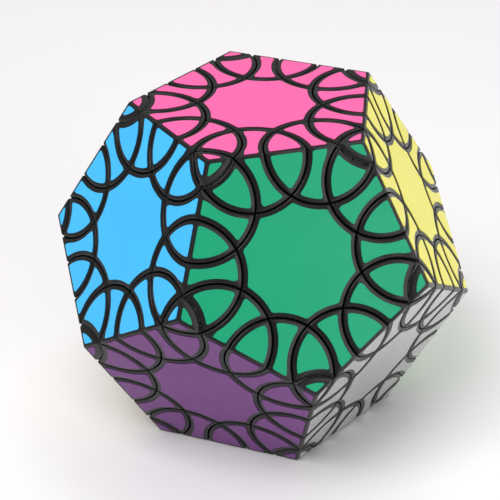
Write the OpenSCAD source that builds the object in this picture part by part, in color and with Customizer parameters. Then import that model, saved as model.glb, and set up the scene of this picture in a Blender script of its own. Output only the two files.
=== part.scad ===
// Dodecahedron twisty puzzle. Sixty spherical cuts, two on each edge, part the
// shell into turning discs round a hollow core. One disc at each of the twenty
// vertices is free to turn here, on a screw and spring that stand on the core.

/* [Body] */
// Edge length of the dodecahedron
edge = 42; // [38:1:46]
// Thickness of a sticker
sticker_t = 0.2; // [0.15:0.05:0.4]

/* [Cuts] */
// Radius of each spherical cut, as a share of the edge
cut_share = 0.359; // [0.355:0.001:0.362]
// Gap between neighbouring pieces
gap = 0.3; // [0.2:0.05:0.4]
// Black band from a cut to the sticker beside it
band = 1.15; // [0.8:0.05:1.4]
// Black strip from a dodecahedron edge to the sticker beside it
strip = 0.75; // [0.5:0.05:1]

/* [Core and fasteners] */
// Wall of the hollow core
core_wall = 2.8; // [2:0.1:3.5]
// Radius of the pivot screws' shanks
screw_r = 1.0; // [0.8:0.05:1.05]
// Radial play of a disc on its pivot screw
play = 0.08; // [0.04:0.01:0.1]
// Outer radius of the springs and screw heads
head_r = 1.95; // [1.7:0.05:2]
// Radius of the cap over a centre's screw
cap_r = 6; // [5:0.5:7]

/* [Hidden] */
$fn = 72;
// Facets of a cut where its exact surface is not used
cut_facets = 36;
fine_facets = 120;
BLACK = "#16161a";
FACE_COLOURS = ["hotpink", "orange", "deepskyblue", "limegreen", "gold", "red",
    "navy", "ivory", "mediumpurple", "silver", "palegreen", "white"];
FACE_NAMES = ["pink", "orange", "blue", "green", "yellow", "red",
    "navy", "cream", "purple", "grey", "mint", "white"];
DISC_NUMBERS = [for (i = [1:20]) i < 10 ? str("0", i) : str(i)];

golden = (1 + sqrt(5)) / 2;
face_angle = atan(2);
inradius = edge * golden * golden / (2 * sqrt(3 - golden));
face_circumradius = edge / (2 * sin(36));
face_apothem = edge / (2 * tan(36));
wide_r = face_circumradius * golden;
ring_z = sqrt(pow(inradius, 2) + pow(face_circumradius, 2) - pow(wide_r, 2));
first_turn = 90;
cut_r = edge * cut_share;
pivot_share = 1 / (golden * sqrt(5));

// The twenty vertices, in four rings of five from the top face to the bottom one
RINGS = [[face_circumradius, inradius, 0], [wide_r, ring_z, 0],
    [wide_r, -ring_z, 36], [face_circumradius, -inradius, 36]];
VERTS = [for (g = RINGS, k = [0:4])
    let (t = first_turn + 72 * k + g[2]) [g[0] * cos(t), g[0] * sin(t), g[1]]];
function near(i) = [for (j = [0:19])
    if (j != i && norm(VERTS[i] - VERTS[j]) < 1.01 * edge) j];
NEAR = [for (i = [0:19]) near(i)];

// The twelve face normals: top, upper five, lower five, bottom
function normal(tilt, turn) = [sin(tilt) * cos(turn), sin(tilt) * sin(turn), cos(tilt)];
NORMALS = concat([[0, 0, 1]],
    [for (k = [0:4]) normal(face_angle, first_turn + 36 + 72 * k)],
    [for (k = [0:4]) normal(180 - face_angle, first_turn + 72 * k)],
    [[0, 0, -1]]);
function faces_at(p) = [for (f = [0:11]) if (NORMALS[f] * p > 0.999 * inradius) f];

// A cut is centred on the edge from vertex i towards vertex j
function pivot(i, j) = VERTS[i] + (VERTS[j] - VERTS[i]) * pivot_share;
pivot_height = norm(pivot(0, 1));
// Angle between an edge and the plane square to the axis of a cut on it
edge_lean = asin(edge * (0.5 - pivot_share) / pivot_height);

// The free disc of each vertex lies on the edge towards its partner
PARTNER = [for (i = [0:19]) let (k = i % 5)
    i < 5 ? (k + 1) % 5 : i < 10 ? 10 + k : i < 15 ? 5 + (k + 1) % 5 : 15 + (k + 1) % 5];
function others(i, j) = [for (n = NEAR[i]) if (n != j) n];
function third(i, j, k) = [for (n = NEAR[i]) if (n != j && n != k) n][0];
// Angle from where aim() leaves +X to the direction of target
function turn_to(out, target) =
    let (tilt = acos(out[2] / norm(out)), turn = atan2(out[1], out[0]))
    let (across = [cos(tilt) * cos(turn), cos(tilt) * sin(turn), -sin(tilt)])
    let (along = [-sin(turn), cos(turn), 0])
    atan2(target * along, target * across);
function spin(i, j) = turn_to(pivot(i, j), VERTS[j] - VERTS[i]);

// On which side of the edge from i to j face f lies, and the neighbour of vertex i
// in face f that has the face on the same side as vertex 1 has the top face
function side(i, j, f) = sign(cross(VERTS[j] - VERTS[i], VERTS[i]) * NORMALS[f]);
function lead(i, f) = [for (j = NEAR[i])
    if (is_on(pivot(i, j), f) && side(i, j, f) == side(0, 1, 0)) j][0];
BACK_FACE = [for (f = faces_at(pivot(0, 1))) if (f != 0) f][0];
function lowest_vertex(f) = [for (i = [0:19]) if (is_on(VERTS[i], f)) i][0];
function is_on(p, f) = NORMALS[f] * p > 0.999 * inradius;

core_r = pivot_height - cut_r - 0.25;
under_r = core_r + 0.6;
screw_tip = core_r - 10;
boss_r = 2.3;
centre_boss_r = 3.2;
pocket_floor = core_r + 3;
pocket_r = head_r + 0.15;
spring_h = 4;
spring_turns = 5;
wire_r = 0.3;
head_h = 1.4;
cap_plane = pocket_floor + spring_h + head_h + 0.5;
centre_screw_r = 1.3;
centre_head_r = 2.6;
centre_seat = inradius - 3.4;
centre_cap_t = 1.4;
sit_z = inradius + sticker_t;
far = 3 * edge;

// Turns +Z to the direction of p
module aim(p) {
    rotate([0, acos(p[2] / norm(p)), atan2(p[1], p[0])]) children();
}

// Turns +Z to the axis of a cut and +X along its edge, from vertex i to j
module at_pivot(i, j) {
    aim(pivot(i, j)) rotate([0, 0, spin(i, j)]) children();
}

// Moves what is drawn for the cut from vertex 0 towards 1 to the one from i to j
module moved(i, j) {
    home = pivot(0, 1);
    at_pivot(i, j)
        rotate([0, 0, -spin(0, 1)])
            rotate([0, -acos(home[2] / norm(home)), 0])
                rotate([0, 0, -atan2(home[1], home[0])])
                    children();
}

// Space of one turning disc, grown or shrunk
module zone(i, j, grow) {
    at_pivot(i, j) translate([0, 0, pivot_height]) rotate([-90, -90, 0])
        sphere(r = cut_r + grow, $fn = cut_facets);
}

// All that lies beyond the given faces
module beyond(faces) {
    for (f = faces)
        aim(NORMALS[f]) translate([-far / 2, -far / 2, inradius]) cube([far, far, far]);
}

// Inside three discs at one vertex
module corner_cell(i) {
    difference() {
        intersection() {
            zone(i, NEAR[i][0], -gap / 2);
            zone(i, NEAR[i][1], -gap / 2);
            zone(i, NEAR[i][2], -gap / 2);
        }
        beyond(faces_at(VERTS[i]));
    }
}

// Inside the two discs of vertex i towards j and k, outside its third
module petal_cell(i, j, k) {
    difference() {
        intersection() {
            zone(i, j, -gap / 2);
            zone(i, k, -gap / 2);
        }
        zone(i, third(i, j, k), gap / 2);
        beyond(faces_at((pivot(i, j) + pivot(i, k)) / 2));
    }
}

// Over the middle of an edge, inside both of its discs
module bridge_cell(i, j) {
    difference() {
        intersection() {
            zone(i, j, -gap / 2);
            zone(j, i, -gap / 2);
        }
        beyond(faces_at(pivot(i, j)));
    }
}

// Inside one disc only: the piece that the pivot screw holds, with its cap
module pivot_cell(i, j) {
    difference() {
        at_pivot(i, j) translate([0, 0, pivot_height]) rotate([0, 90 + edge_lean, 0])
            rotate([0, 0, 180]) sphere(r = cut_r - gap / 2, $fn = cut_facets);
        for (n = others(i, j)) zone(i, n, gap / 2);
        zone(j, i, gap / 2);
        beyond(faces_at(pivot(i, j)));
    }
}

module pivot_piece(i, j) {
    difference() {
        pivot_cell(i, j);
        at_pivot(i, j) {
            translate([0, 0, core_r - 2]) cylinder(r = screw_r + play, h = 8);
            translate([0, 0, pocket_floor]) cylinder(r = pocket_r, h = far);
            translate([-far / 2, -far / 2, cap_plane]) cube([far, far, far]);
        }
    }
    intersection() {
        pivot_cell(i, j);
        at_pivot(i, j) translate([-far / 2, -far / 2, cap_plane + 0.02])
            cube([far, far, far]);
    }
}

// Moves what is drawn for the top face to face f
module at_face(f) {
    aim(NORMALS[f])
        rotate([0, 0, turn_to(NORMALS[f], VERTS[lowest_vertex(f)]) - first_turn])
            children();
}

// The black middle of one face, down to a foot on the core
module centre_base(f) {
    n = NORMALS[f];
    difference() {
        union() {
            difference() {
                face_wedge(f, gap / 2);
                sphere(r = under_r);
                for (p = cuts_round(f))
                    translate(p) sphere(r = cut_r + gap / 2, $fn = fine_facets);
            }
            aim(n) translate([0, 0, core_r + 0.02]) cylinder(r = 5, h = 3);
        }
        aim(n) centre_hollow();
    }
}

// Room for the cap, the screw's head and its shank, along +Z
module centre_hollow() {
    translate([0, 0, core_r - 1]) cylinder(r = centre_screw_r + play, h = 9);
    translate([0, 0, centre_seat]) cylinder(r = centre_head_r + 0.15, h = 9);
    translate([0, 0, inradius - centre_cap_t]) cylinder(r = cap_r, h = 9);
}

module centre_cap(f) {
    aim(NORMALS[f]) translate([0, 0, inradius - centre_cap_t])
        cylinder(r = cap_r - 0.02, h = centre_cap_t);
}

// The part of space nearest to one face, kept clear of its five fold planes
module face_wedge(f, clear) {
    n = NORMALS[f];
    difference() {
        aim(n) cylinder(r = face_circumradius + 1, h = inradius);
        for (m = NORMALS) if (m != n && m * n > 0.4)
            aim(m - n) translate([-far / 2, -far / 2, -clear]) cube([far, far, far]);
    }
}

// Centres of all the cuts that touch one face
function cuts_round(f) = [for (i = [0:19]) if (VERTS[i] * NORMALS[f] > 0.999 * inradius)
    for (j = NEAR[i]) pivot(i, j)];

// A hollow half of the core with its screw bosses; side is 1 above and -1 below
module core_half(side) {
    difference() {
        union() {
            difference() {
                sphere(r = core_r);
                sphere(r = core_r - core_wall);
            }
            for (i = [0:19], j = NEAR[i]) if (side * pivot(i, j)[2] > 0)
                at_pivot(i, j) translate([0, 0, screw_tip]) cylinder(r = boss_r, h = 9);
            for (n = NORMALS) if (side * n[2] > 0)
                aim(n) translate([0, 0, screw_tip]) cylinder(r = centre_boss_r, h = 9);
        }
        for (i = [0:19], j = NEAR[i]) if (side * pivot(i, j)[2] > 0)
            at_pivot(i, j) translate([0, 0, screw_tip - 1]) cylinder(r = screw_r, h = 13);
        for (n = NORMALS) if (side * n[2] > 0)
            aim(n) translate([0, 0, screw_tip - 1]) cylinder(r = centre_screw_r, h = 13);
        translate([-far / 2, -far / 2, side > 0 ? -far : 0]) cube([far, far, far]);
    }
}

module screw(shank_r, round_head_r, seat) {
    translate([0, 0, screw_tip]) cylinder(r = shank_r, h = seat - screw_tip);
    difference() {
        translate([0, 0, seat]) cylinder(r = round_head_r, h = head_h);
        translate([0, 0, seat + head_h - 0.8]) cylinder(r = shank_r * 0.8, h = 1, $fn = 6);
    }
}

// Coils of one spring, as level rings that touch
module spring() {
    pitch = spring_h / spring_turns;
    for (k = [0:spring_turns - 1])
        translate([0, 0, pocket_floor + pitch * (k + 0.5)]) difference() {
            translate([0, 0, -pitch / 2]) cylinder(r = head_r, h = pitch);
            translate([0, 0, -pitch]) cylinder(r = head_r - 2 * wire_r, h = 2 * pitch);
        }
}

// A thin plate over one face, short of the face's edges, along +Z
module sticker_plate(f) {
    aim(NORMALS[f]) translate([0, 0, inradius])
        rotate([0, 0, turn_to(NORMALS[f], VERTS[lowest_vertex(f)])])
        cylinder(r = face_circumradius - strip / cos(36), h = sticker_t, $fn = 5);
}

module corner_sticker(i, f) {
    intersection() {
        sticker_plate(f);
        zone(i, NEAR[i][0], -band);
        zone(i, NEAR[i][1], -band);
        zone(i, NEAR[i][2], -band);
    }
}

module petal_sticker(i, j, k) {
    difference() {
        intersection() {
            sticker_plate(faces_at((pivot(i, j) + pivot(i, k)) / 2)[0]);
            zone(i, j, -band);
            zone(i, k, -band);
        }
        zone(i, third(i, j, k), band);
    }
}

module bridge_sticker(i, j, f) {
    intersection() {
        sticker_plate(f);
        zone(i, j, -band);
        zone(j, i, -band);
    }
}

module pivot_sticker(i, j, f) {
    difference() {
        intersection() {
            sticker_plate(f);
            zone(i, j, -band);
        }
        for (n = others(i, j)) zone(i, n, band);
        zone(j, i, band);
    }
}

module centre_sticker(f) {
    difference() {
        sticker_plate(f);
        for (p = cuts_round(f))
            translate(p) sphere(r = cut_r + band, $fn = fine_facets);
    }
}

// One sticker of each shape at its own place; all are drawn at vertex 0
module place_corner_sticker(i, f) {
    moved(i, lead(i, f)) corner_sticker(0, 0);
}

module place_petal_sticker(i, f) {
    moved(i, lead(i, f)) petal_sticker(0, 1, 4);
}

module place_bridge_sticker(i, j, f) {
    if (side(i, j, f) == side(0, 1, 0)) moved(i, j) bridge_sticker(0, 1, 0);
    else moved(j, i) bridge_sticker(0, 1, 0);
}

module place_pivot_sticker(i, j, f) {
    moved(i, j) pivot_sticker(0, 1, side(i, j, f) == side(0, 1, 0) ? 0 : BACK_FACE);
}

// Whether both cuts of a vertex's petal on face f belong to fixed discs
function petal_is_fixed(i, f) = !is_on(pivot(i, PARTNER[i]), f);

// The stickers that stay with one face when every free disc turns away
module face_stickers(f) {
    color(FACE_COLOURS[f]) translate([0, 0, sit_z]) {
        at_face(f) centre_sticker(0);
        for (i = [0:19], j = NEAR[i]) if (j != PARTNER[i] && is_on(pivot(i, j), f)) {
            place_pivot_sticker(i, j, f);
            if (i < j && i != PARTNER[j]) place_bridge_sticker(i, j, f);
        }
        for (i = [0:19]) if (is_on(VERTS[i], f) && petal_is_fixed(i, f))
            place_petal_sticker(i, f);
    }
}

module disc_stickers(i) {
    j = PARTNER[i];
    translate([0, 0, sit_z]) for (f = faces_at(VERTS[i])) color(FACE_COLOURS[f]) {
        place_corner_sticker(i, f);
        if (!petal_is_fixed(i, f)) {
            place_pivot_sticker(i, j, f);
            place_bridge_sticker(i, j, f);
            place_petal_sticker(i, f);
        }
    }
}

module disc(i) {
    color(BLACK) translate([0, 0, sit_z]) moved(i, PARTNER[i]) {
        corner_cell(0);
        petal_cell(0, 1, 4);
        petal_cell(0, 1, 5);
        bridge_cell(0, 1);
        pivot_piece(0, 1);
    }
}

module core_lower() {
    color(BLACK) translate([0, 0, sit_z]) core_half(-1);
}

module core_upper() {
    color(BLACK) translate([0, 0, sit_z]) core_half(1);
}

module centre_pieces() {
    color(BLACK) translate([0, 0, sit_z]) for (f = [0:11]) at_face(f) centre_base(0);
}

module centre_caps() {
    color(BLACK) translate([0, 0, sit_z]) for (f = [0:11]) centre_cap(f);
}

module edge_pieces() {
    color(BLACK) translate([0, 0, sit_z])
        for (i = [0:19], j = others(i, PARTNER[i])) moved(i, j) pivot_piece(0, 1);
}

// The petals and bridges that no free disc carries
module petal_pieces() {
    color(BLACK) translate([0, 0, sit_z]) {
        for (i = [0:19], f = faces_at(VERTS[i])) if (petal_is_fixed(i, f))
            moved(i, lead(i, f)) petal_cell(0, 1, 4);
        for (i = [0:19], j = NEAR[i]) if (i < j && j != PARTNER[i] && i != PARTNER[j])
            moved(i, j) bridge_cell(0, 1);
    }
}

module screws() {
    color("silver") translate([0, 0, sit_z]) {
        for (i = [0:19], j = NEAR[i])
            at_pivot(i, j) screw(screw_r, head_r, pocket_floor + spring_h);
        for (n = NORMALS) aim(n) screw(centre_screw_r, centre_head_r, centre_seat);
    }
}

module springs() {
    color("gainsboro") translate([0, 0, sit_z])
        for (i = [0:19], j = NEAR[i]) at_pivot(i, j) spring();
}

core_lower();
core_upper();
centre_pieces();
centre_caps();
edge_pieces();
petal_pieces();
screws();
springs();
for (f = [0:11])
    face_stickers(f);
for (i = [0:19])
    disc(i);
for (i = [0:19])
    disc_stickers(i);
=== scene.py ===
"""Dodecahedron twisty puzzle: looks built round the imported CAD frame."""
import math

import bmesh
import bpy
from mathutils import Matrix, Vector


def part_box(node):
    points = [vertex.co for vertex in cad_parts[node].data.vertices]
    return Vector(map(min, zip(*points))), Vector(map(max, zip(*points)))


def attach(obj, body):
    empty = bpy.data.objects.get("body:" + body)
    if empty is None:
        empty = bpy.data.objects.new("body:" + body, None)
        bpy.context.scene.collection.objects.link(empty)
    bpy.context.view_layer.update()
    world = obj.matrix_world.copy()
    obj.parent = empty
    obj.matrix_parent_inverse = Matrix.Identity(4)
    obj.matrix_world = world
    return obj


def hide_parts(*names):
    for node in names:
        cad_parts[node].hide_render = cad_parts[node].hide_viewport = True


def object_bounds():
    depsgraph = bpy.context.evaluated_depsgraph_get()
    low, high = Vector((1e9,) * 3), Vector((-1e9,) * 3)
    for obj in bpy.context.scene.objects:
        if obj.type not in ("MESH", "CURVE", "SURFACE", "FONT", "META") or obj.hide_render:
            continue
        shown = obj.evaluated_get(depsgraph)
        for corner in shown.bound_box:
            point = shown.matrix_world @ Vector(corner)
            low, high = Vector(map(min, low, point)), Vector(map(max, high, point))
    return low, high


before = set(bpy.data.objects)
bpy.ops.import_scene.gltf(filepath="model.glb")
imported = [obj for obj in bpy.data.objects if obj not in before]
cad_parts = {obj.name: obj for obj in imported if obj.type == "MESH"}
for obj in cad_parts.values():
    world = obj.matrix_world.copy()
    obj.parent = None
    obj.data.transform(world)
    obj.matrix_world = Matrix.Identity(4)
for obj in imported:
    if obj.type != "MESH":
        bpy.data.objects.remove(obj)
cad_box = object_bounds()

# ---------------------------------------------------------------- sizes, from the frame
GOLDEN = (1 + math.sqrt(5)) / 2
STICKER_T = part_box("stickers_pink")[1].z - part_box("stickers_pink")[0].z
INRADIUS = (cad_box[1].z - cad_box[0].z) / 2 - STICKER_T
EDGE = 2 * INRADIUS * math.sqrt(3 - GOLDEN) / GOLDEN ** 2
CENTRE = Vector((0, 0, INRADIUS + STICKER_T))
FACE_R = EDGE / (2 * math.sin(math.radians(36)))
WIDE_R = FACE_R * GOLDEN
RING_Z = math.sqrt(INRADIUS ** 2 + FACE_R ** 2 - WIDE_R ** 2)
CUT_R = 0.359 * EDGE            # radius of the ball cuts
PIVOT_SHARE = 1 / (GOLDEN * math.sqrt(5))  # how far along its edge a cut's centre lies
FIRST_TURN = 90                 # azimuth of the first vertex, in degrees
FACE_TILT = math.degrees(math.atan(2))

BAND = 0.0325 * EDGE            # black band beside a cut
STRIP = 0.0179 * EDGE           # black strip beside a dodecahedron edge
STICKER_CORNER = 0.017 * EDGE   # how far a sticker's rounded corner runs back
STICKER_RIM = 0.00007           # rounded top rim of a sticker
EDGE_ROUND = 0.00045            # moulded rounding of the black pieces
HALF_GAP = 0.00015              # half the gap between neighbouring pieces
SKIN_OVERLAP = 0.00008          # how far a rounded top sinks into its piece
PLASTIC_CORNER = 0.0003         # how far a black piece's rounded corner runs back
ROUND_STEPS = 4
SAME_POINT = 1e-6               # points nearer than this, in metres, count as one
SHARP_ANGLE = math.radians(35)
FOLD_SLOPE = 1 / GOLDEN         # how fast a face's sides close in with depth

FACE_NAMES = ["pink", "orange", "blue", "green", "yellow", "red",
              "navy", "cream", "purple", "grey", "mint", "white"]
STICKER_COLOURS = {
    "pink": (0.905, 0.130, 0.380), "orange": (0.950, 0.260, 0.030),
    "blue": (0.060, 0.520, 0.960), "green": (0.004, 0.315, 0.150),
    "yellow": (0.930, 0.870, 0.150), "red": (0.700, 0.020, 0.030),
    "navy": (0.020, 0.060, 0.360), "cream": (0.880, 0.800, 0.560),
    "purple": (0.165, 0.050, 0.205), "grey": (0.50, 0.495, 0.51),
    "mint": (0.330, 0.700, 0.250), "white": (0.850, 0.850, 0.850),
}


def on_ring(radius, z, turn):
    return [Vector((radius * math.cos(math.radians(FIRST_TURN + turn + 72 * k)),
                    radius * math.sin(math.radians(FIRST_TURN + turn + 72 * k)), z))
            for k in range(5)]


def direction(tilt, turn):
    t, a = math.radians(tilt), math.radians(turn)
    return Vector((math.sin(t) * math.cos(a), math.sin(t) * math.sin(a), math.cos(t)))


VERTS = (on_ring(FACE_R, INRADIUS, 0) + on_ring(WIDE_R, RING_Z, 0)
         + on_ring(WIDE_R, -RING_Z, 36) + on_ring(FACE_R, -INRADIUS, 36))
NORMALS = ([Vector((0, 0, 1))]
           + [direction(FACE_TILT, FIRST_TURN + 36 + 72 * k) for k in range(5)]
           + [direction(180 - FACE_TILT, FIRST_TURN + 72 * k) for k in range(5)]
           + [Vector((0, 0, -1))])
NEAR = [[j for j in range(20) if j != i and (VERTS[i] - VERTS[j]).length < 1.01 * EDGE]
        for i in range(20)]


def partner(i):
    """The vertex towards which the free disc of vertex i lies."""
    k = i % 5
    return [(k + 1) % 5, 10 + k, 5 + (k + 1) % 5, 15 + (k + 1) % 5][i // 5]


def pivot(i, j):
    return VERTS[i].lerp(VERTS[j], PIVOT_SHARE)


def is_on(point, f):
    return NORMALS[f].dot(point) > 0.999 * INRADIUS


# ---------------------------------------------------------------- materials
def shader(name, colour, roughness, coat, coat_roughness=0.06):
    mat = bpy.data.materials.new(name)
    mat.use_nodes = True
    bsdf = mat.node_tree.nodes["Principled BSDF"]
    bsdf.inputs["Base Color"].default_value = (*colour, 1)
    bsdf.inputs["Roughness"].default_value = roughness
    bsdf.inputs["Coat Weight"].default_value = coat
    bsdf.inputs["Coat Roughness"].default_value = coat_roughness
    return mat, mat.node_tree, bsdf


def noise(tree, scale, detail=3.0):
    where = tree.nodes.new("ShaderNodeTexCoord")
    node = tree.nodes.new("ShaderNodeTexNoise")
    node.inputs["Scale"].default_value = scale
    node.inputs["Detail"].default_value = detail
    tree.links.new(where.outputs["Object"], node.inputs["Vector"])
    return node


def spread(tree, source, low, high, socket):
    """Maps a noise's 0.3 to 0.7 onto low to high on a socket."""
    node = tree.nodes.new("ShaderNodeMapRange")
    node.inputs["From Min"].default_value = 0.3
    node.inputs["From Max"].default_value = 0.7
    node.inputs["To Min"].default_value = low
    node.inputs["To Max"].default_value = high
    tree.links.new(source.outputs["Fac"], node.inputs["Value"])
    tree.links.new(node.outputs["Result"], socket)


def bump(tree, bsdf, layers):
    """Adds fine relief: each layer is (noise node, height in metres)."""
    last = None
    for source, height in layers:
        node = tree.nodes.new("ShaderNodeBump")
        node.inputs["Strength"].default_value = 0.6
        node.inputs["Distance"].default_value = height
        tree.links.new(source.outputs["Fac"], node.inputs["Height"])
        if last:
            tree.links.new(last.outputs["Normal"], node.inputs["Normal"])
        last = node
    tree.links.new(last.outputs["Normal"], bsdf.inputs["Normal"])


def tint(tree, bsdf, colour, amount, scale):
    """Lets the colour wander a little over the surface."""
    source = noise(tree, scale, 2.0)
    ramp = tree.nodes.new("ShaderNodeValToRGB")
    ramp.color_ramp.elements[0].position = 0.3
    ramp.color_ramp.elements[1].position = 0.7
    ramp.color_ramp.elements[0].color = (*[c * (1 - amount) for c in colour], 1)
    ramp.color_ramp.elements[1].color = (*[min(1, c * (1 + amount)) for c in colour], 1)
    tree.links.new(source.outputs["Fac"], ramp.inputs["Fac"])
    tree.links.new(ramp.outputs["Color"], bsdf.inputs["Base Color"])


def moulded_black():
    """Glossy black plastic with a faint mould texture and handling marks."""
    colour = (0.0045, 0.0045, 0.005)
    mat, tree, bsdf = shader("moulded_black", colour, 0.24, 0.08, 0.08)
    bsdf.inputs["Specular IOR Level"].default_value = 0.2
    tint(tree, bsdf, colour, 0.25, 90)
    spread(tree, noise(tree, 140, 4), 0.19, 0.32, bsdf.inputs["Roughness"])
    bump(tree, bsdf, [(noise(tree, 700, 2), 0.000012), (noise(tree, 5200, 2), 0.000004)])
    return mat


def vinyl(name):
    """Sticker vinyl: smooth, with a soft ripple from the hand that laid it."""
    colour = STICKER_COLOURS[name]
    mat, tree, bsdf = shader("vinyl_" + name, colour, 0.34, 0.06, 0.16)
    bsdf.inputs["Specular IOR Level"].default_value = 0.16
    tint(tree, bsdf, colour, 0.025, 60)
    spread(tree, noise(tree, 210, 3), 0.30, 0.40, bsdf.inputs["Roughness"])
    bump(tree, bsdf, [(noise(tree, 160, 1), 0.000018), (noise(tree, 2600, 3), 0.000003)])
    return mat


def silver_foil():
    """The one metallic sticker: brushed silver film under a clear layer."""
    colour = STICKER_COLOURS["grey"]
    mat, tree, bsdf = shader("vinyl_grey", colour, 0.32, 0.5, 0.1)
    bsdf.inputs["Metallic"].default_value = 0.65
    tint(tree, bsdf, colour, 0.06, 50)
    spread(tree, noise(tree, 240, 3), 0.27, 0.38, bsdf.inputs["Roughness"])
    bump(tree, bsdf, [(noise(tree, 160, 1), 0.000018), (noise(tree, 3000, 3), 0.000004)])
    return mat


def steel(name, colour, roughness):
    mat, tree, bsdf = shader(name, colour, roughness, 0.0)
    bsdf.inputs["Metallic"].default_value = 1.0
    tint(tree, bsdf, colour, 0.08, 400)
    spread(tree, noise(tree, 900, 3), roughness - 0.06, roughness + 0.08,
           bsdf.inputs["Roughness"])
    bump(tree, bsdf, [(noise(tree, 2500, 3), 0.000006)])
    return mat


BLACK = moulded_black()
VINYL = {n: silver_foil() if n == "grey" else vinyl(n) for n in FACE_NAMES}
STEEL = steel("screw_steel", (0.55, 0.55, 0.57), 0.28)
SPRING = steel("spring_steel", (0.48, 0.48, 0.50), 0.34)


# ---------------------------------------------------------------- sticker outlines
class Plane:
    """A face's plane with two axes; flat coordinates are (x, y) pairs from its middle."""

    def __init__(self, f):
        self.out = NORMALS[f]
        self.middle = self.out * INRADIUS
        corners = [v for v in VERTS if is_on(v, f)]
        self.x = (corners[0] - self.middle).normalized()
        self.y = self.out.cross(self.x)
        self.sides = [n for n in NORMALS if n is not self.out and n.dot(self.out) > 0.4]

    def flat(self, p):
        d = p - self.middle
        return Vector((d.dot(self.x), d.dot(self.y)))

    def solid(self, q, height):
        return CENTRE + self.middle + self.x * q.x + self.y * q.y + self.out * height


def limits_at(plane, cell, inset, strip, depth=0.0):
    """A cell's limits in the plane at that depth: its cuts' circles and the face's sides."""
    limits = []
    for n in plane.sides:
        across = Vector((n.dot(plane.x), n.dot(plane.y))).normalized()
        reach = EDGE / (2 * math.tan(math.radians(36))) - strip - depth * FOLD_SLOPE
        limits.append(("side", across, reach))
    for p, inside in cell["cuts"]:
        height = (p - plane.middle).dot(plane.out) + depth
        ball = CUT_R - inset if inside else CUT_R + inset
        radius = math.sqrt(ball ** 2 - height ** 2)
        limits.append(("circle", plane.flat(p), radius, inside))
    return limits


def reach_along(limit, start, ray):
    """How far a ray from start goes before it crosses a limit."""
    if limit[0] == "side":
        speed = ray.dot(limit[1])
        return (limit[2] - start.dot(limit[1])) / speed if speed > 1e-9 else math.inf
    to_start = start - limit[1]
    b = to_start.dot(ray)
    root = b * b - to_start.length_squared + limit[2] ** 2
    if root < 0:
        return math.inf
    if limit[3]:
        return -b + math.sqrt(root)
    near = -b - math.sqrt(root)
    return near if near > 0 else math.inf


def boundary(limits, start, angle):
    ray = Vector((math.cos(angle), math.sin(angle)))
    reaches = [reach_along(m, start, ray) for m in limits]
    which = min(range(len(limits)), key=lambda k: reaches[k])
    return start + ray * reaches[which], which


def outline(limits, start, counts=None, steps=240):
    """The region's border as runs of points, one run for each limit that bounds it.
    Each run comes with whether it is a straight side; counts fixes the points a run."""
    turns = [2 * math.pi * k / steps for k in range(steps)]
    marks = [boundary(limits, start, t)[1] for t in turns]
    corners = []
    for k in range(steps):
        if marks[k] != marks[(k + 1) % steps]:
            low, high = turns[k], turns[k] + 2 * math.pi / steps
            for _ in range(24):
                half = (low + high) / 2
                if boundary(limits, start, half)[1] == marks[k]:
                    low = half
                else:
                    high = half
            corners.append((low, high))
    runs = []
    for c, (_, begin) in enumerate(corners):
        end = corners[(c + 1) % len(corners)][0]
        if end <= begin:
            end += 2 * math.pi
        count = counts[c] if counts else max(8, int((end - begin) / (2 * math.pi) * 200))
        run = [boundary(limits, start, begin + (end - begin) * k / count)[0]
               for k in range(count + 1)]
        which = boundary(limits, start, (begin + end) / 2)[1]
        runs.append((run, limits[which][0] == "side"))
    return runs


def trimmed(run, cut):
    """A run without its first and last stretch of length cut, with as many points."""
    lengths = [0.0]
    for a, b in zip(run, run[1:]):
        lengths.append(lengths[-1] + (b - a).length)
    points, k = [], 0
    for step in range(len(run)):
        want = cut + (lengths[-1] - 2 * cut) * step / (len(run) - 1)
        while k < len(run) - 2 and lengths[k + 1] < want:
            k += 1
        share = (want - lengths[k]) / (lengths[k + 1] - lengths[k])
        points.append(run[k].lerp(run[k + 1], share))
    return points


def rounded(runs, cut, keep_folds=False):
    """The closed border with each corner turned into a short curve.
    With keep_folds a corner on a straight side stays sharp."""
    total = [sum((b - a).length for a, b in zip(r, r[1:])) for r, _ in runs]
    short = [trimmed(r, min(cut, 0.3 * t)) for (r, _), t in zip(runs, total)]
    points = []
    for k, (run, straight) in enumerate(runs):
        after, after_straight = runs[(k + 1) % len(runs)]
        before_straight = runs[k - 1][1]
        part = list(short[k])
        if keep_folds and (straight or before_straight):
            part[0] = run[0]
        if keep_folds and (straight or after_straight):
            part[-1] = run[-1]
        points += part
        start = short[(k + 1) % len(runs)][0]
        if keep_folds and (straight or after_straight):
            start = run[-1]
        for s in (0.25, 0.5, 0.75):
            points.append(part[-1].lerp(run[-1], s).lerp(run[-1].lerp(start, s), s))
    return points


def inset_loop(points, amount):
    """A closed anticlockwise border moved inwards by amount."""
    moved = []
    for k, p in enumerate(points):
        along = (points[(k + 1) % len(points)] - points[k - 1]).normalized()
        moved.append(p + Vector((-along.y, along.x)) * amount)
    return moved


def add_rings(bm, rings, slot_index):
    """A closed skin through the rings, from the lowest to the highest. A point that
    coincides with the one before it in every ring is left out."""
    kept = [k for k in range(len(rings[0]))
            if any((ring[k] - ring[k - 1]).length > SAME_POINT for ring in rings)]
    made = [[bm.verts.new(ring[k]) for k in kept] for ring in rings]
    count = len(kept)
    for low, high in zip(made, made[1:]):
        for k in range(count):
            m = (k + 1) % count
            face = bm.faces.new((low[k], low[m], high[m], high[k]))
            face.smooth = True
            face.material_index = slot_index
    for ring in (made[0][::-1], made[-1]):
        bm.faces.new(ring).material_index = slot_index


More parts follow.
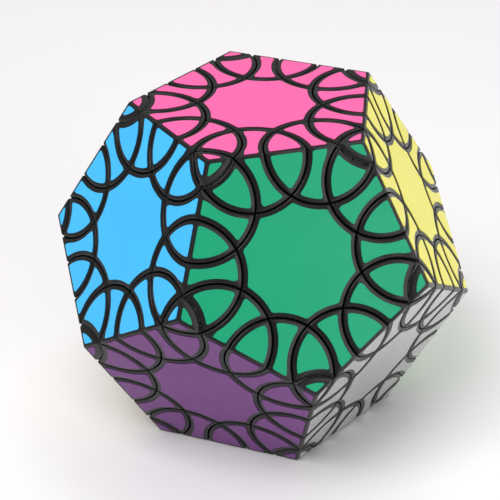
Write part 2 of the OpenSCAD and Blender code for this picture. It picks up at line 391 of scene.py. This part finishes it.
def add_sticker(bm, plane, cell, slot_index):
    limits = limits_at(plane, cell, BAND, STRIP)
    border = rounded(outline(limits, cell["start"]), STICKER_CORNER)
    half_rim = STICKER_RIM * (1 - math.sqrt(0.5))
    levels = [(0, 0), (0, STICKER_T - STICKER_RIM), (half_rim, STICKER_T - half_rim),
              (STICKER_RIM, STICKER_T)]
    rings = [[plane.solid(q, height) for q in inset_loop(border, inset)]
             for inset, height in levels]
    add_rings(bm, rings, slot_index)


def add_rounded_top(bm, plane, cell):
    """The top of a black piece under one face, with its rim rounded towards the grooves."""
    levels = [(0.0, EDGE_ROUND + SKIN_OVERLAP)]
    for k in range(ROUND_STEPS + 1):
        turn = math.pi / 2 * k / ROUND_STEPS
        levels.append((EDGE_ROUND * (1 - math.cos(turn)), EDGE_ROUND * (1 - math.sin(turn))))
    base = outline(limits_at(plane, cell, HALF_GAP, 0), cell["start"])
    counts = [len(run) - 1 for run, _ in base]
    rings = []
    for inset, depth in levels:
        limits = limits_at(plane, cell, HALF_GAP + inset, 0, depth)
        runs = outline(limits, cell["start"], counts)
        border = rounded(runs, PLASTIC_CORNER, keep_folds=True)
        rings.append([plane.solid(q, -depth) for q in border])
    add_rings(bm, rings, 0)


def face_cells(f):
    """The pieces that show on a face: kind, the vertex whose free disc carries it or
    None, the cuts that bound it, and a point inside it."""
    plane = Plane(f)
    at_face = [i for i in range(20) if is_on(VERTS[i], f)]
    cells = []

    def add(kind, owner, cuts, start):
        cells.append({"kind": kind, "owner": owner, "cuts": cuts, "start": start})

    for i in at_face:
        on = [j for j in NEAR[i] if is_on(pivot(i, j), f)]
        off = [j for j in NEAR[i] if j not in on][0]
        tip = plane.flat(VERTS[i])
        inward = -tip.normalized()
        add("corner", i, [(pivot(i, j), True) for j in NEAR[i]], tip + inward * 0.075 * EDGE)
        add("petal", i if partner(i) in on else None,
            [(pivot(i, j), True) for j in on] + [(pivot(i, off), False)],
            tip + inward * 0.25 * EDGE)
        for j in on:
            across = -plane.flat(VERTS[i].lerp(VERTS[j], 0.5)).normalized()
            rest = [(pivot(i, n), False) for n in NEAR[i] if n != j]
            add("pivot", i if partner(i) == j else None,
                [(pivot(i, j), True), (pivot(j, i), False)] + rest,
                plane.flat(VERTS[i].lerp(VERTS[j], 0.32)) + across * 0.17 * EDGE)
            if i < j:
                owner = i if partner(i) == j else j if partner(j) == i else None
                add("bridge", owner, [(pivot(i, j), True), (pivot(j, i), True)],
                    plane.flat(VERTS[i].lerp(VERTS[j], 0.5)) + across * 0.1 * EDGE)
    add("centre", None, [(pivot(i, j), False) for i in at_face for j in NEAR[i]],
        Vector((0, 0)))
    return plane, cells


def mesh_object(name, bm, materials):
    bmesh.ops.recalc_face_normals(bm, faces=bm.faces)
    mesh = bpy.data.meshes.new(name)
    bm.to_mesh(mesh)
    bm.free()
    for m in materials:
        mesh.materials.append(m)
    obj = bpy.data.objects.new(name, mesh)
    bpy.context.scene.collection.objects.link(obj)
    return obj


def make_stickers():
    fixed = {f: bmesh.new() for f in range(12)}
    free = {i: (bmesh.new(), []) for i in range(20)}
    for f, (plane, cells) in enumerate(FACES):
        for cell in cells:
            if cell["owner"] is None:
                add_sticker(fixed[f], plane, cell, 0)
                continue
            bm, faces = free[cell["owner"]]
            if f not in faces:
                faces.append(f)
            add_sticker(bm, plane, cell, faces.index(f))
    for f, bm in fixed.items():
        name = FACE_NAMES[f]
        obj = mesh_object("vinyl_stickers_" + name, bm, [VINYL[name]])
        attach(obj, "puzzle_body")
        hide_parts("stickers_" + name)
    for i, (bm, faces) in free.items():
        number = f"{i + 1:02d}"
        obj = mesh_object("vinyl_on_disc_" + number, bm,
                          [VINYL[FACE_NAMES[f]] for f in faces])
        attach(obj, "turning_disc_" + number)
        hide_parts("disc_stickers_" + number)


# ---------------------------------------------------------------- black pieces
def lowered_copy(node):
    """The CAD piece with its outer faces sunk, to make room for a rounded top."""
    bm = bmesh.new()
    bm.from_mesh(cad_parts[node].data)
    bmesh.ops.remove_doubles(bm, verts=bm.verts, dist=SAME_POINT)
    for v in bm.verts:
        p = v.co - CENTRE
        touched = [n for n in NORMALS if n.dot(p) > INRADIUS - 2e-5]
        if touched:
            push = sum(touched, Vector((0, 0, 0)))
            v.co -= push * (EDGE_ROUND / push.dot(touched[0]))
    for face in bm.faces:
        face.smooth = True
    return bm


def node_of(cell):
    if cell["owner"] is not None:
        return f"disc_{cell['owner'] + 1:02d}"
    return {"centre": "centre_pieces", "pivot": "edge_pieces"}.get(cell["kind"],
                                                                   "petal_pieces")


def make_black_pieces():
    nodes = ["centre_pieces", "edge_pieces", "petal_pieces"]
    nodes += [f"disc_{i + 1:02d}" for i in range(20)]
    meshes = {node: lowered_copy(node) for node in nodes}
    for plane, cells in FACES:
        for cell in cells:
            add_rounded_top(meshes[node_of(cell)], plane, cell)
    for node, bm in meshes.items():
        obj = mesh_object("moulded_" + node, bm, [BLACK])
        obj.data.set_sharp_from_angle(angle=SHARP_ANGLE)
        free = node.startswith("disc")
        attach(obj, "turning_" + node if free else "puzzle_body")
        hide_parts(node)
        if node == "centre_pieces":
            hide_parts("centre_caps")


def dress_cad():
    own = {"screws": STEEL, "springs": SPRING}
    for name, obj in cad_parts.items():
        if not obj.hide_render:
            obj.data.materials.clear()
            obj.data.materials.append(own.get(name, BLACK))


# ---------------------------------------------------------------- stage
def area_light(name, place, size, power, target):
    data = bpy.data.lights.new(name, "AREA")
    data.shape = "RECTANGLE"
    data.size, data.size_y = size
    data.energy = power
    obj = bpy.data.objects.new(name, data)
    obj.location = place
    obj.rotation_euler = (target - obj.location).to_track_quat("-Z", "Y").to_euler()
    bpy.context.scene.collection.objects.link(obj)


def studio():
    bm = bmesh.new()
    bmesh.ops.create_grid(bm, x_segments=1, y_segments=1, size=6)
    pale = (0.93, 0.915, 0.925)
    mat, tree, bsdf = shader("pale_floor", pale, 0.6, 0.0)
    tint(tree, bsdf, pale, 0.01, 3)
    floor = mesh_object("floor", bm, [mat])
    area_light("key", Vector((-0.35, -0.30, 0.85)), (0.6, 0.5), 5.0, CENTRE)
    area_light("back", Vector((0.30, 0.30, 0.95)), (0.6, 0.5), 1.9, CENTRE)
    area_light("front", Vector((0.45, -0.85, 0.35)), (0.5, 0.5), 2.6, CENTRE)
    world = bpy.data.worlds.new("world")
    world.use_nodes = True
    back = world.node_tree.nodes["Background"]
    back.inputs["Color"].default_value = (1.0, 0.99, 1.0, 1)
    back.inputs["Strength"].default_value = 0.50
    bpy.context.scene.world = world
    bpy.context.scene.view_settings.view_transform = "Standard"


def camera():
    """A long lens from the front left, 30 degrees up, with a slight roll."""
    distance, focal_share = 14.37 * EDGE, 4.2774
    aim_right, aim_up = -0.089 * EDGE, 0.0212 * EDGE
    azimuth, height, roll = math.radians(257.37), math.radians(29.92), math.radians(-1.56)
    towards = Vector((math.cos(height) * math.cos(azimuth),
                      math.cos(height) * math.sin(azimuth), math.sin(height)))
    turn = (-towards).to_track_quat("-Z", "Y").to_matrix() @ Matrix.Rotation(roll, 3, "Z")
    data = bpy.data.cameras.new("camera")
    data.sensor_width = 36
    data.lens = 36 * focal_share
    data.clip_start = 0.01
    obj = bpy.data.objects.new("camera", data)
    right, up = turn.col[0], turn.col[1]
    obj.location = CENTRE + towards * distance + right * aim_right + up * aim_up
    obj.rotation_euler = turn.to_euler()
    bpy.context.scene.collection.objects.link(obj)
    bpy.context.scene.camera = obj


FACES = [face_cells(f) for f in range(12)]
make_stickers()
make_black_pieces()
dress_cad()
studio()
camera()
